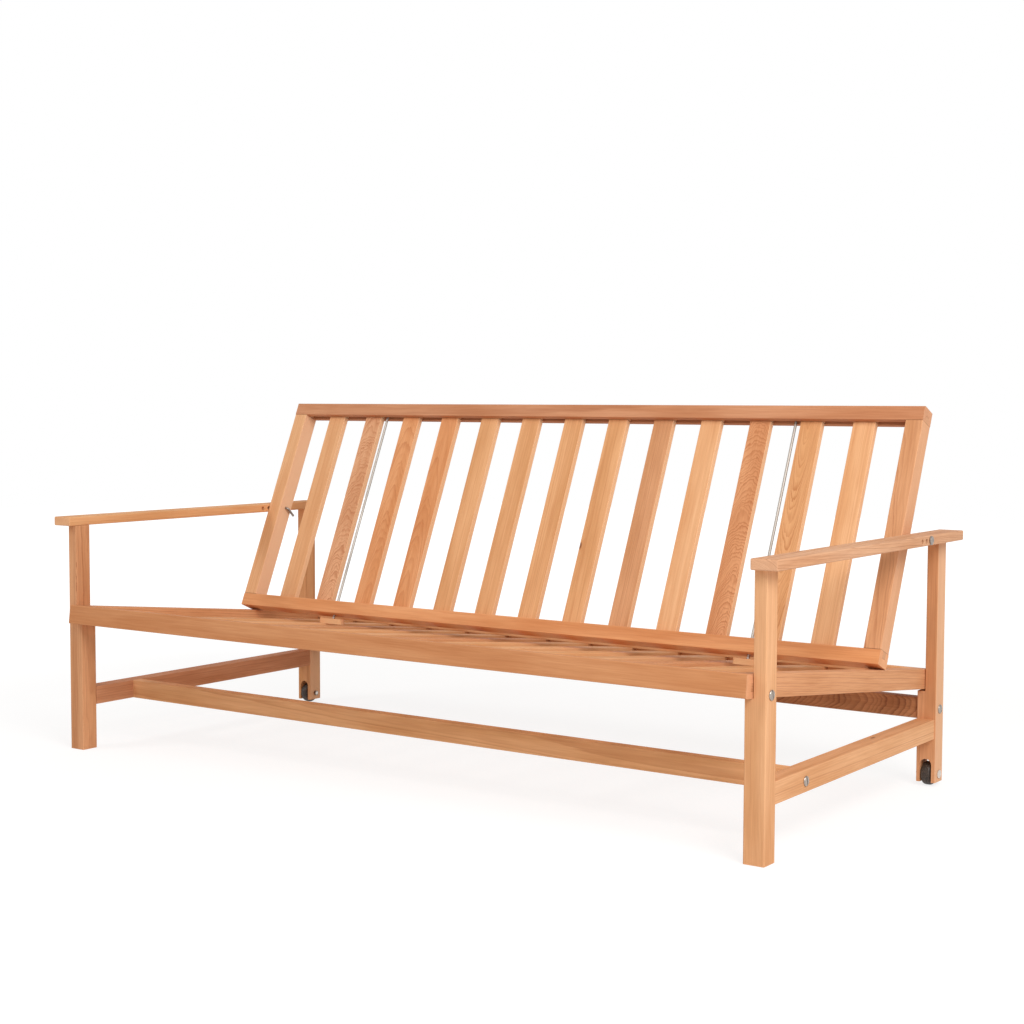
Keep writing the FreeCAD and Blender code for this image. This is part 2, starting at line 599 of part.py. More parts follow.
bolt_spots = [
    ("seat", "Sizes.post_width + Sizes.side_gap", "Layout.leg_outer", "Layout.frame_outer",
     "Layout.front_middle", "Layout.bolt_height"),
    ("front", "Layout.stretcher_width", "Layout.leg_inner + Layout.stretcher_width", "Layout.leg_inner",
     "Layout.front_stretcher_y", "Layout.stretcher_middle"),
    ("rear", "Sizes.leg_width", "Layout.leg_outer", "Layout.leg_inner",
     "Layout.rear_middle", "Layout.cross_rail_middle"),
]
bolts = []
inserts = []
for name, through, head_x, insert_x, y, z in bolt_spots:
    bolts.append(new_bolt(name + "_bolt", through, head_x, y, z))
    inserts.append(new_insert(name + "_insert", insert_x, y, z))
keep_group("frame_bolts", bolts)
keep_group("threaded_inserts", inserts)

sleeve = new_body("sleeve")
sleeve_length = "Layout.arm_width - Sizes.sleeve_start"
sleeve_corners = [("Sizes.sleeve_head_thickness", "0")]
sleeve_corners.append(("Sizes.sleeve_head_thickness", "Sizes.sleeve_head / 2 - Sizes.head_bevel"))
sleeve_corners.append(("Sizes.sleeve_head_thickness - Sizes.head_bevel", "Sizes.sleeve_head / 2"))
sleeve_corners.append(("0", "Sizes.sleeve_head / 2"))
sleeve_corners.append(("0", "Sizes.sleeve_size / 2"))
sleeve_corners.append(("-(%s)" % sleeve_length, "Sizes.sleeve_size / 2"))
sleeve_corners.append(("-(%s)" % sleeve_length, pivot_bore))
sleeve_corners.append(("-Sizes.sleeve_cover", pivot_bore))
sleeve_corners.append(("-Sizes.sleeve_cover", "0"))
lathe(sleeve, sleeve_corners)
move(sleeve, "Sizes.overall_length / 2", "Layout.pivot_y", "Layout.arm_middle")
keep_group("pivot_sleeve_nuts", [sleeve])

# Pivot bolts, a steel rod bent over at its inner end as a handle
pivot_bolt = new_body("right_pivot_bolt")
path = on_plane(pivot_bolt, "XZ_Plane")
bend_size = sizes.get("handle_bend")
straight = places.get("handle_x") - places.get("sleeve_tip")
elbow = FreeCAD.Vector(straight - bend_size, -bend_size, 0)
handle_end = FreeCAD.Vector(straight - bend_size, -sizes.get("handle_length"), 0)
path.addGeometry(Part.LineSegment(FreeCAD.Vector(0, 0, 0), FreeCAD.Vector(straight, 0, 0)))
bend_arc = Part.Circle(FreeCAD.Vector(straight, -bend_size, 0), axis_z, bend_size)
path.addGeometry(Part.ArcOfCircle(bend_arc, math.pi / 2, math.pi))
path.addGeometry(Part.LineSegment(elbow, handle_end))
path.addConstraint(Sketcher.Constraint("Coincident", 0, 1, -1, 1))
path.addConstraint(Sketcher.Constraint("Horizontal", 0))
path.addConstraint(Sketcher.Constraint("Vertical", 2))
path.addConstraint(Sketcher.Constraint("Tangent", 0, 2, 1, 1))
path.addConstraint(Sketcher.Constraint("Tangent", 1, 2, 2, 1))
bend = path.addConstraint(Sketcher.Constraint("Radius", 1, bend_size))
path.setExpression("Constraints[%d]" % bend, "Sizes.handle_bend")
fix_point(path, 2, 2, "Layout.handle_x - Sizes.handle_bend - Layout.sleeve_tip", "-Sizes.handle_length")
section = on_plane(pivot_bolt, "YZ_Plane")
section.addGeometry(Part.Circle(FreeCAD.Vector(0, 0, 0), axis_z, sizes.get("pivot_rod") / 2))
section.addConstraint(Sketcher.Constraint("Coincident", 0, 3, -1, 1))
wire = section.addConstraint(Sketcher.Constraint("Radius", 0, sizes.get("pivot_rod") / 2))
section.setExpression("Constraints[%d]" % wire, "Sizes.pivot_rod / 2")
doc.recompute()
rod_pipe = pivot_bolt.newObject("PartDesign::AdditivePipe", "right_pivot_bolt_rod")
rod_pipe.Profile = section
rod_pipe.Spine = (path, ["Edge1", "Edge2", "Edge3"])
turn(pivot_bolt, axis_x, "Sizes.handle_angle")
move(pivot_bolt, "Layout.sleeve_tip", "Layout.pivot_y", "Layout.arm_middle")
keep_pair("pivot_bolt", pivot_bolt)

# Wheels on axles held in the rear legs
wheel = new_body("right_wheel")
wheel_half = "Sizes.wheel_width / 2"
wheel_bore = "Sizes.axle_size / 2 + Sizes.running_play"
dish_x = wheel_half + " - Sizes.wheel_dish"
hub_edge = "Sizes.wheel_hub / 2"
rim_edge = "Sizes.wheel_size / 2 - Sizes.wheel_round - Sizes.wheel_rim / 3"
wheel_corners = [("-" + wheel_half, wheel_bore), ("-" + wheel_half, hub_edge), ("-(%s)" % dish_x, hub_edge)]
wheel_corners += [("-(%s)" % dish_x, rim_edge), ("-" + wheel_half, rim_edge)]
tread = []
for angle in (0, 30, 60, 90):
    shrink = "Sizes.wheel_round * (1 - cos(%d))" % angle
    drop = "Sizes.wheel_round * (1 - sin(%d))" % angle
    tread.append(("%s - %s" % (wheel_half, shrink), "Sizes.wheel_size / 2 - " + drop))
wheel_corners += [("-(%s)" % across, up) for across, up in tread]
wheel_corners += tread[::-1]
wheel_corners += [(wheel_half, rim_edge), (dish_x, rim_edge), (dish_x, hub_edge), (wheel_half, hub_edge)]
wheel_corners.append((wheel_half, wheel_bore))
lathe(wheel, wheel_corners)
move(wheel, "Layout.leg_middle", "Layout.rear_middle", "Sizes.wheel_size / 2")
keep_pair("wheel", wheel)
axle_length = "Sizes.leg_width + Sizes.axle_nut_thickness"
axle = headed_pin("axle", "Sizes.axle_head", "Sizes.axle_head_thickness", "Sizes.axle_size", axle_length,
                  "Layout.leg_outer", "Layout.rear_middle", "Sizes.wheel_size / 2")
keep_group("wheel_axles", [axle])
nut = new_body("nut")
nut_corners = []
for angle in range(0, 360, 60):
    nut_corners.append(("Sizes.axle_nut / 2 * cos(%d)" % angle, "Sizes.axle_nut / 2 * sin(%d)" % angle))
pad(nut, outline(nut, "YZ_Plane", nut_corners), "Sizes.axle_nut_thickness")
bore(nut, axle_hole, "Sizes.axle_nut_thickness", "x", "0", "0", "0")
move(nut, "Layout.leg_inner - Sizes.axle_nut_thickness", "Layout.rear_middle", "Sizes.wheel_size / 2")
keep_group("axle_nuts", [nut])

# Checking and writing
doc.recompute()
for thing in doc.Objects:
    if "Invalid" in thing.State or "Error" in thing.State:
        raise RuntimeError(thing.Name + " did not build")
for label, piece in pieces.items():
    if piece.Shape.isNull() or not piece.Shape.isValid() or not piece.Shape.Solids:
        raise RuntimeError(label + " has no valid solid")
os.makedirs("parts", exist_ok=True)
for label, piece in pieces.items():
    piece.Shape.exportStep("parts/%s.step" % label)
print(len(pieces), "pieces written")
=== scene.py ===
import math
import random

import bmesh
import bpy
from mathutils import Euler, Matrix, Vector


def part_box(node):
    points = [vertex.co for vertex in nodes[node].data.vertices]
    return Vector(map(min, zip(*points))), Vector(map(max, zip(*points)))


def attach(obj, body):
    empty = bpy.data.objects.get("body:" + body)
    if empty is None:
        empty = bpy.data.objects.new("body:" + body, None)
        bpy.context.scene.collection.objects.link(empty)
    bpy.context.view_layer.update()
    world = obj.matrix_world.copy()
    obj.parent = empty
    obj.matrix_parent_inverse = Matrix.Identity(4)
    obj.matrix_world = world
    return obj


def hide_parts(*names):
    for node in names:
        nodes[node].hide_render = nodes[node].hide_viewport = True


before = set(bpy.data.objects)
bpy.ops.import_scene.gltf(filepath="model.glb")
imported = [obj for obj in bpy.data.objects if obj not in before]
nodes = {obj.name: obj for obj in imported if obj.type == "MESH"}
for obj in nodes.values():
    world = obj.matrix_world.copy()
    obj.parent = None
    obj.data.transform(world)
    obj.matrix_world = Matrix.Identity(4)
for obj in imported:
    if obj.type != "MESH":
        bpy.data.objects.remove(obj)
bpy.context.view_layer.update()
scene = bpy.context.scene
print("frame loaded,", len(nodes), "nodes")


def toLinear(hexColour):
    parts = [int(hexColour[place:place + 2], 16) / 255 for place in (1, 3, 5)]
    return [p / 12.92 if p <= 0.04045 else ((p + 0.055) / 1.055) ** 2.4 for p in parts] + [1.0]


# adds a node; an input is a value, a socket, or a node whose first live output is taken
# by number: a map range has its limits at 1 to 4, a colour mix its factor at 0 and its colours at 6 and 7
def addNode(tree, kind, inputs=None, **settings):
    node = tree.nodes.new(kind)
    for name, value in settings.items():
        setattr(node, name, value)
    for name, value in (inputs or {}).items():
        if isinstance(value, bpy.types.Node):
            value = next(output for output in value.outputs if output.enabled)
        if isinstance(value, bpy.types.NodeSocket):
            tree.links.new(value, node.inputs[name])
        else:
            node.inputs[name].default_value = value
    return node


def newMaterial(name):
    material = bpy.data.materials.new(name)
    material.use_nodes = True
    material.node_tree.nodes.clear()
    return material, material.node_tree


def addObject(name, data):
    added = bpy.data.objects.new(name, data)
    scene.collection.objects.link(added)
    return added


def dress(node, material):
    nodes[node].data.materials.clear()
    nodes[node].data.materials.append(material)


# camera where the photographer stood, to the right and just above the back
cameraPlan = {
    "place": (2.442993, -3.377158, 0.874560),
    "yaw": 35.299, "pitch": 3.644, "roll": 0.159,  # degrees
    "focal": 61.451, "sensor": 36,  # mm
    "shift": (0.00735, 0.0011),
}


def aimCamera(plan):
    yaw, pitch, roll = (math.radians(plan[name]) for name in ("yaw", "pitch", "roll"))
    right = Vector((math.cos(yaw), math.sin(yaw), 0))
    ahead = Vector((-math.sin(yaw), math.cos(yaw), 0))
    look = ahead * math.cos(pitch) - Vector((0, 0, math.sin(pitch)))
    top = ahead * math.sin(pitch) + Vector((0, 0, math.cos(pitch)))
    across = right * math.cos(roll) + top * math.sin(roll)
    upward = top * math.cos(roll) - right * math.sin(roll)
    lens = bpy.data.cameras.new("camera")
    lens.sensor_fit = "HORIZONTAL"
    lens.sensor_width = plan["sensor"]
    lens.lens = plan["focal"]
    lens.shift_x, lens.shift_y = plan["shift"]
    camera = addObject("camera", lens)
    turned = Matrix((across, upward, -look)).transposed().to_4x4()
    camera.matrix_world = Matrix.Translation(plan["place"]) @ turned
    scene.camera = camera


aimCamera(cameraPlan)
print("camera set")

# softwood grain, one group for every board; all its lengths are millimetres
grainPlan = {
    "noises": {  # stretch along and across the board, and detail
        "sway": ((1 / 40, 1 / 30, 1 / 30), 4),  # bends of the trunk, drawn out further by each board's cut
        "blotch": ((1 / 300, 1 / 40, 1 / 40), 2),  # uneven oil
        "streak": ((1 / 420, 1 / 7, 1 / 7), 2),  # bands of colour along the grain
        "fibre": ((1 / 70, 1 / 2.4, 1 / 2.4), 3),  # real fibres are 0.03 mm, drawn coarser so that they show
    },
    "seedShift": (17.3, 5.1, 9.7),
    "swayAcross": (0, 2, 2),  # the trunk bends sideways only
    "ring": [(0.0, 0.0), (0.4, 0.1), (0.8, 0.8), (0.92, 1.0), (1.0, 0.0)],  # pale spring wood to dark summer wood
    "yearPace": 0.09, "yearDrift": 3.0,  # how fast and how many rings the years run ahead or behind
    "faintest": 0.2,  # share of its darkness that the palest ring keeps
    "oilSpan": (0.32, 0.7), "streakSpan": (0.3, 0.72), "fibreSpan": (0.3, 0.7),
    "streakShare": 0.32, "fibreShare": 0.16,
    "knotShape": (0.45, 1, 0), "knotLeast": 0.01, "knotFade": -0.5, "knotLift": 1.6,
    "knotCore": (0.35, 0.9, 0.8, 0.0), "knotColour": "#7A4326",
    "sawnEnd": (0.2, 1.2, 0.35, 0.0), "paintedSide": (0.2, 1.5),  # depth below the face and share of bare wood; on the narrow sides the share is of painted side light and painted shade
    "rubbedEdge": (0.5, 4.0, 0.45, 0.0),
    # painted shadow in the joint where a stile or slat meets its rail, and painted shade on its tongue
    "jointShadowLine": (0.0, 1.8, 0.55, 0.0), "tongueShade": 0.16, "jointShadowColour": "#6B3A20",
    "rough": 0.62, "summerGloss": -0.1, "fibreRough": 0.14,
    "summerHeight": 0.6, "fibreHeight": -0.5,
    "inputs": {
        "NodeSocketVector": ["Place", "Half Size", "Pith", "Pith Tilt", "Knot"],
        "NodeSocketFloat": ["Ring Width", "Ring Contrast", "Ring Luck", "Wobble", "Sway Stretch", "Seed",
                            "Painted Side Share", "Shoulder"],
        "NodeSocketColor": ["Spring Wood", "Summer Wood", "Oil Stain", "Bare End And Painted Side"],
    },
    "outputs": {"Colour": "NodeSocketColor", "Roughness": "NodeSocketFloat", "Height": "NodeSocketFloat"},
}
mathNode, vectorNode, mapNode = "ShaderNodeMath", "ShaderNodeVectorMath", "ShaderNodeMapRange"
noiseNode, joinNode, splitNode = "ShaderNodeTexNoise", "ShaderNodeCombineXYZ", "ShaderNodeSeparateXYZ"


# inputs of a map range by number: from two values, and where given to two values
def limits(values):
    return dict(enumerate(values, start=1))


# noises, each stretched along the board and moved by the board's seed
def drawNoises(tree, given, plan):
    shift = addNode(tree, vectorNode, {0: plan["seedShift"], "Scale": given["Seed"]}, operation="SCALE")
    stretch = addNode(tree, joinNode, {0: given["Sway Stretch"], 1: 1.0, 2: 1.0})
    drawn = addNode(tree, vectorNode, {0: given["Place"], 1: stretch}, operation="DIVIDE")
    noise = {}
    for name, (scale, detail) in plan["noises"].items():
        source = drawn if name == "sway" else given["Place"]
        spot = addNode(tree, vectorNode, {0: source, 1: scale, 2: shift}, operation="MULTIPLY_ADD")
        noise[name] = addNode(tree, noiseNode, {"Vector": spot, "Scale": 1.0, "Detail": detail})
    return noise


# rings round a pith beside the board, swayed, and pushed aside by a knot
def drawRings(tree, given, plan, sway):
    place, seed = given["Place"], given["Seed"]
    centred = addNode(tree, vectorNode, {0: sway.outputs["Color"], 1: (0.5, 0.5, 0.5)}, operation="SUBTRACT")
    across = addNode(tree, vectorNode, {0: centred, 1: plan["swayAcross"]}, operation="MULTIPLY")
    bent = addNode(tree, vectorNode, {0: across, "Scale": given["Wobble"]}, operation="SCALE")
    warped = addNode(tree, vectorNode, {0: place, 1: bent}, operation="ADD")
    turned = {"Vector": warped, "Location": given["Pith"], "Rotation": given["Pith Tilt"]}
    heart = addNode(tree, "ShaderNodeMapping", turned, vector_type="TEXTURE")
    radial = addNode(tree, vectorNode, {0: heart, 1: (0, 1, 1)}, operation="MULTIPLY")
    radius = addNode(tree, vectorNode, {0: radial}, operation="LENGTH")

    knot = addNode(tree, splitNode, {0: given["Knot"]}).outputs
    knotSpot = addNode(tree, joinNode, {0: knot[0], 1: knot[1]})
    fromKnot = addNode(tree, vectorNode, {0: warped, 1: knotSpot}, operation="SUBTRACT")
    flatKnot = addNode(tree, vectorNode, {0: fromKnot, 1: plan["knotShape"]}, operation="MULTIPLY")
    knotGap = addNode(tree, vectorNode, {0: flatKnot}, operation="LENGTH")
    knotSize = addNode(tree, mathNode, {0: knot[2], 1: plan["knotLeast"]}, operation="MAXIMUM")
    knotReach = addNode(tree, mathNode, {0: knotGap, 1: knotSize}, operation="DIVIDE")
    knotSquare = addNode(tree, mathNode, {0: knotReach, 1: knotReach}, operation="MULTIPLY")
    knotFade = addNode(tree, mathNode, {0: knotSquare, 1: plan["knotFade"]}, operation="MULTIPLY")
    knotPush = addNode(tree, mathNode, {0: knotFade}, operation="EXPONENT")
    knotLift = addNode(tree, mathNode, {0: knot[2], 1: plan["knotLift"]}, operation="MULTIPLY")
    pushed = addNode(tree, mathNode, {0: knotPush, 1: knotLift, 2: radius}, operation="MULTIPLY_ADD")

    drifting = plan["yearDrift"]
    years = addNode(tree, mathNode, {0: pushed, 1: plan["yearPace"], 2: seed}, operation="MULTIPLY_ADD")
    uneven = addNode(tree, noiseNode, {"W": years, "Scale": 1.0, "Detail": 2.0}, noise_dimensions="1D")
    drift = addNode(tree, mathNode, {0: uneven, 1: drifting, 2: -drifting / 2}, operation="MULTIPLY_ADD")
    evenPhase = addNode(tree, mathNode, {0: pushed, 1: given["Ring Width"]}, operation="DIVIDE")
    phase = addNode(tree, mathNode, {0: evenPhase, 1: drift}, operation="ADD")
    within = addNode(tree, mathNode, {0: phase}, operation="FRACT")
    ring = addNode(tree, "ShaderNodeFloatCurve", {"Value": within})
    curve = ring.mapping.curves[0]
    curve.points[0].location, curve.points[1].location = plan["ring"][0], plan["ring"][-1]
    for spot in plan["ring"][1:-1]:
        curve.points.new(*spot)
    for point in curve.points:
        point.handle_type = "VECTOR"
    ring.mapping.update()

    # some years are dark, some are faint
    year = addNode(tree, mathNode, {0: phase}, operation="FLOOR")
    yearSeed = addNode(tree, mathNode, {0: year, 1: seed}, operation="ADD")
    luck = addNode(tree, "ShaderNodeTexWhiteNoise", {"W": yearSeed}, noise_dimensions="1D")
    rare = addNode(tree, mathNode, {0: luck, 1: given["Ring Luck"]}, operation="POWER")
    faintest = plan["faintest"]
    depth = addNode(tree, mathNode, {0: rare, 1: 1 - faintest, 2: faintest}, operation="MULTIPLY_ADD")
    dark = addNode(tree, mathNode, {0: ring, 1: depth}, operation="MULTIPLY")
    lateWood = addNode(tree, mathNode, {0: dark, 1: given["Ring Contrast"]}, operation="MULTIPLY")
    return lateWood, knotReach


# sawn ends are barer, narrow sides take painted light and on the seat slats painted shade, handled edges are rubbed,
# and a painted shadow line marks where a tongue goes into its rail, with painted shade on the tongue in the groove
def wearBoard(tree, given, plan, streak):
    size = addNode(tree, splitNode, {0: given["Half Size"]}).outputs
    unsigned = addNode(tree, vectorNode, {0: given["Place"]}, operation="ABSOLUTE")
    spot = addNode(tree, splitNode, {0: unsigned}).outputs
    inside = [addNode(tree, mathNode, {0: size[axis], 1: spot[axis]}, operation="SUBTRACT") for axis in range(3)]
    ending = addNode(tree, mapNode, {"Value": inside[0], **limits(plan["sawnEnd"])})
    # narrow sides: paler painted light, and on the seat slats darker painted shade
    paintedSideSpan = (*plan["paintedSide"], given["Painted Side Share"], 0.0)
    paintedSides = addNode(tree, mapNode, {"Value": inside[1], **limits(paintedSideSpan)})
    sawn = addNode(tree, mathNode, {0: ending, 1: paintedSides}, operation="MAXIMUM")
    toEdge = addNode(tree, mathNode, {0: inside[1], 1: inside[2]}, operation="MAXIMUM")
    bare = addNode(tree, mapNode, {"Value": toEdge, **limits(plan["rubbedEdge"])})
    rubbed = addNode(tree, mathNode, {0: bare, 1: streak}, operation="MULTIPLY")
    # painted shadow line at the shoulder, and painted shade on the tongue beyond it
    pastShoulder = addNode(tree, mathNode, {0: inside[0], 1: given["Shoulder"]}, operation="SUBTRACT")
    fromShoulder = addNode(tree, mathNode, {0: pastShoulder}, operation="ABSOLUTE")
    shadowLine = addNode(tree, mapNode, {"Value": fromShoulder, **limits(plan["jointShadowLine"])})
    inTongue = addNode(tree, mathNode, {0: pastShoulder, 1: 0.0}, operation="LESS_THAN")
    tongueShade = addNode(tree, mathNode, {0: inTongue, 1: plan["tongueShade"]}, operation="MULTIPLY")
    jointShadow = addNode(tree, mathNode, {0: shadowLine, 1: tongueShade}, operation="MAXIMUM")
    return sawn, rubbed, jointShadow


def buildGrain(plan):
    tree = bpy.data.node_groups.new("softwood grain", "ShaderNodeTree")
    for kind, names in plan["inputs"].items():
        for name in names:
            tree.interface.new_socket(name, in_out="INPUT", socket_type=kind)
    for name, kind in plan["outputs"].items():
        tree.interface.new_socket(name, in_out="OUTPUT", socket_type=kind)
    given = addNode(tree, "NodeGroupInput").outputs
    noise = drawNoises(tree, given, plan)
    lateWood, knotReach = drawRings(tree, given, plan, noise["sway"])
    oil, streak, fibre = (
        addNode(tree, mapNode, {"Value": noise[name], **limits(plan[span])}, interpolation_type="SMOOTHSTEP")
        for name, span in (("blotch", "oilSpan"), ("streak", "streakSpan"), ("fibre", "fibreSpan")))
    band = addNode(tree, mathNode, {0: streak, 1: plan["streakShare"]}, operation="MULTIPLY")
    hair = addNode(tree, mathNode, {0: fibre, 1: plan["fibreShare"]}, operation="MULTIPLY")
    sawn, rubbed, jointShadow = wearBoard(tree, given, plan, streak)
    knotDark = addNode(tree, mapNode, {"Value": knotReach, **limits(plan["knotCore"])})

    # layers: oil, rings, streaks, fibres, bare ends with painted side light and shade, rubbed edges, painted joint
    # shadow, knots
    colour = given["Spring Wood"]
    for share, tone, blend in (
            (oil, given["Oil Stain"], "MIX"), (lateWood, given["Summer Wood"], "MIX"),
            (band, given["Oil Stain"], "MIX"), (hair, given["Summer Wood"], "MULTIPLY"),
            (sawn, given["Bare End And Painted Side"], "MIX"), (rubbed, given["Spring Wood"], "MIX"),
            (jointShadow, toLinear(plan["jointShadowColour"]), "MIX"), (knotDark, toLinear(plan["knotColour"]), "MIX")):
        layer = {0: share, 6: colour, 7: tone}
        colour = addNode(tree, "ShaderNodeMix", layer, data_type="RGBA", blend_type=blend)

    gloss = {0: lateWood, 1: plan["summerGloss"], 2: plan["rough"]}
    gloss = addNode(tree, mathNode, gloss, operation="MULTIPLY_ADD")
    rough = addNode(tree, mathNode, {0: fibre, 1: plan["fibreRough"], 2: gloss}, operation="MULTIPLY_ADD")
    hollow = addNode(tree, mathNode, {0: fibre, 1: plan["fibreHeight"]}, operation="MULTIPLY")
    height = {0: lateWood, 1: plan["summerHeight"], 2: hollow}
    height = addNode(tree, mathNode, height, operation="MULTIPLY_ADD")
    addNode(tree, "NodeGroupOutput", {"Colour": colour, "Roughness": rough, "Height": height})
    return tree


grain = buildGrain(grainPlan)

# oiled softwood, planed and sanded: warm satin boards, each with its own tone
woodTones = {  # spring wood, summer wood, oil stain
    "honey": ("#F2B985", "#C27D4C", "#E0A46F"),
    "blush": ("#F3B17C", "#BC6C3D", "#E19A64"),
    "petal": ("#F3BC90", "#C07A50", "#DFA377"),
    "rose": ("#EAAB7B", "#B87145", "#D89666"),
    "tan": ("#E6AB7D", "#AB6843", "#D29567"),
    "straw": ("#F5C08F", "#CC8A5A", "#E7AC79"),
    "sand": ("#EFB98A", "#BA7A4E", "#DDA372"),
    "bisque": ("#E5B48E", "#9C5A38", "#D8A178"),
    "amber": ("#DA9B6B", "#B26D40", "#CB8858"),
    "russet": ("#DB9E76", "#A15E3C", "#C7865D"),
    "umber": ("#CC9063", "#7A462C", "#B4774E"),
}
# how each board was sawn: pith beside it (mm), its tilt (degrees), ring width (mm), contrast, how rare dark
# rings are, wobble (mm) and how far that is drawn out along the board; rings of 1 to 3 mm are real, the wider
# ones are drawn so to show on a quartered face
cutNames = ("pith", "tilt", "ring", "contrast", "luck", "wobble", "sway")
boardCuts = {
    "quarter": ((0, 130, 20), (0, 0.2, 0.3), 5.0, 0.6, 2.0, 3, 18),
    "rift": ((0, 60, -55), (0, 0.6, 0.4), 4.4, 0.65, 2.0, 5, 14),
    "flat": ((0, 4, -30), (0, 5.0, 0.5), 1.7, 0.85, 0.5, 2.2, 3),
    "arched": ((0, 4, -26), (0, -5.0, 0.5), 2.2, 1.0, 0.6, 4.0, 2),
    "wild": ((0, -9, -70), (0, 9.0, 0.9), 1.6, 1.0, 0.4, 5.0, 1.2),
    "bold": ((0, 42, 8), (0, 0.4, 6.0), 1.6, 0.9, 0.6, 2.0, 4),
    "streaky": ((0, 40, -80), (0, 1.6, 1.2), 3.2, 0.75, 1.2, 4, 4),
    "figured": ((0, -9, -60), (0, 4.0, 0.6), 2.4, 0.55, 0.8, 3.5, 4),
    "flame": ((0, 14, 30), (0, 1.5, 0.5), 4.0, 0.9, 0.9, 6, 3),
    "post": ((0, 48, 40), (0, 0.3, 0.4), 5.5, 0.6, 2.0, 4, 14),
}
seatSlope, backLean = 6.4, 23.4  # degrees
boardTurns = {  # grain direction of each kind of board, as turns in degrees
    "long": (0, 0, 0),
    "seatRail": (-seatSlope, 0, 0),
    "backRail": (-backLean, 0, 0),
    "deep": (0, 0, 90),
    "upright": (0, -90, 0),
    "rearUpright": (-90, -90, 0),
    "seatSlat": (0, seatSlope, 90),
    "backSlat": (0, backLean - 90, 90),
}
boards = {
    "left_front_leg": ("upright", "tan", "flame"), "right_front_leg": ("upright", "sand", "post"),
    "left_rear_leg": ("rearUpright", "honey", "post"), "right_rear_leg": ("rearUpright", "tan", "post"),
    "left_armrest": ("deep", "honey", "rift"), "right_armrest": ("deep", "bisque", "streaky"),
    "left_side_stretcher": ("deep", "russet", "rift"), "right_side_stretcher": ("deep", "sand", "rift"),
    "front_stretcher": ("long", "honey", "quarter"), "rear_cross_rail": ("long", "umber", "bold"),
    "seat_front_rail": ("seatRail", "amber", "quarter"), "seat_rear_rail": ("seatRail", "straw", "quarter"),
    "left_seat_stile": ("seatSlat", "rose", "rift"), "right_seat_stile": ("seatSlat", "tan", "streaky"),
    "back_top_rail": ("backRail", "russet", "quarter"), "back_bottom_rail": ("backRail", "blush", "quarter"),
    "left_back_stile": ("backSlat", "straw", "quarter"), "right_back_stile": ("backSlat", "tan", "streaky"),
    "left_foot_block": ("seatRail", "straw", "quarter"), "right_foot_block": ("seatRail", "straw", "quarter"),
}
slatWood = {  # from the left end to the right end
    "back": ["straw quarter", "petal wild", "blush figured", "blush figured", "honey quarter", "honey quarter",
             "honey quarter", "honey rift", "tan quarter", "straw quarter", "rose wild", "honey arched",
             "straw quarter"],
    "seat": ["honey rift", "straw quarter", "tan flat", "honey quarter", "sand rift", "rose wild", "honey quarter",
             "straw flat", "honey quarter", "sand rift", "rose flat", "honey quarter", "tan wild"],
}
for part, choices in slatWood.items():
    for number, choice in enumerate(choices, start=1):
        boards["%s_slat_%02d" % (part, number)] = (part + "Slat", *choice.split())
knots = {  # along and across the board from its middle, and size, mm
    "back_slat_08": (-70, 24, 6), "seat_slat_04": (150, -8, 9), "right_side_stretcher": (120, 6, 7),
}
sideLightAndShade = {  # narrow sides painted paler as painted light, and on the seat slats darker as painted shade: tone, and how much of it shows
    "rear_leg": ("#F6C8A2", 0.5), "back_slat": ("#F6C498", 0.8), "left_back_stile": ("#F4C29C", 0.8),
    "right_back_stile": ("#F0BC96", 0.4), "seat_slat": ("#D89A6C", 0.3),
}
boardPlan = {
    "plainSide": ("#F0BC96", 0.0),  # on other boards only the sawn ends take this tone
    "tongue": 15.5,  # mm at each end of a stile or slat that is let into a rail
    "noTongue": -9.0,  # a shoulder outside the board, so that no painted shadow line shows
    "pithChance": (0.8, 1.25), "tiltChance": (0.8, 1.2), "ringChance": (0.85, 1.15), "seedStep": 1.37,
    "bump": 0.35, "bumpHeight": 0.0004, "refraction": 1.47, "shine": 0.2,  # height in metres
}


